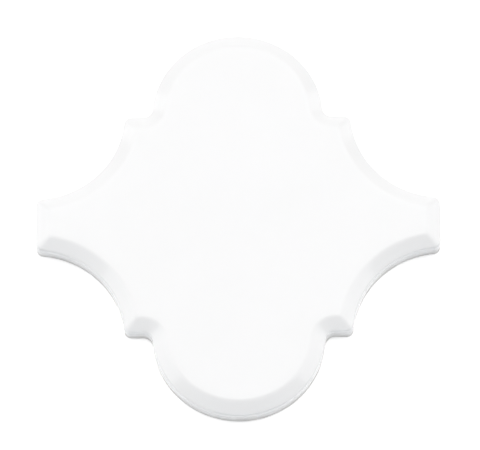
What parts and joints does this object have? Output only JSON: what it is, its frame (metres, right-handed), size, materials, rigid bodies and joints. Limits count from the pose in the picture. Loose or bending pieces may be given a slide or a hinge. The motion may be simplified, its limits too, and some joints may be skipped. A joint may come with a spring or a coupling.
{
  "type": "arabesque wall tile",
  "caption": "Glossy white ceramic wall tile of lantern outline: round lobes, flat ends and scooped sides that nest with its neighbours, pillowed edge, keyed back.",
  "frame": {"origin": "middle of the back, on the bed plane", "axes": "+Z out of the glazed face, +X towards a flat end, +Y towards a round lobe"},
  "size_m": [0.12, 0.12, 0.008],
  "materials": {
    "white_glaze": "gloss"
  },
  "bodies": {
    "root": {"arabesque_tile": "white_glaze"}
  },
  "joints": []
}
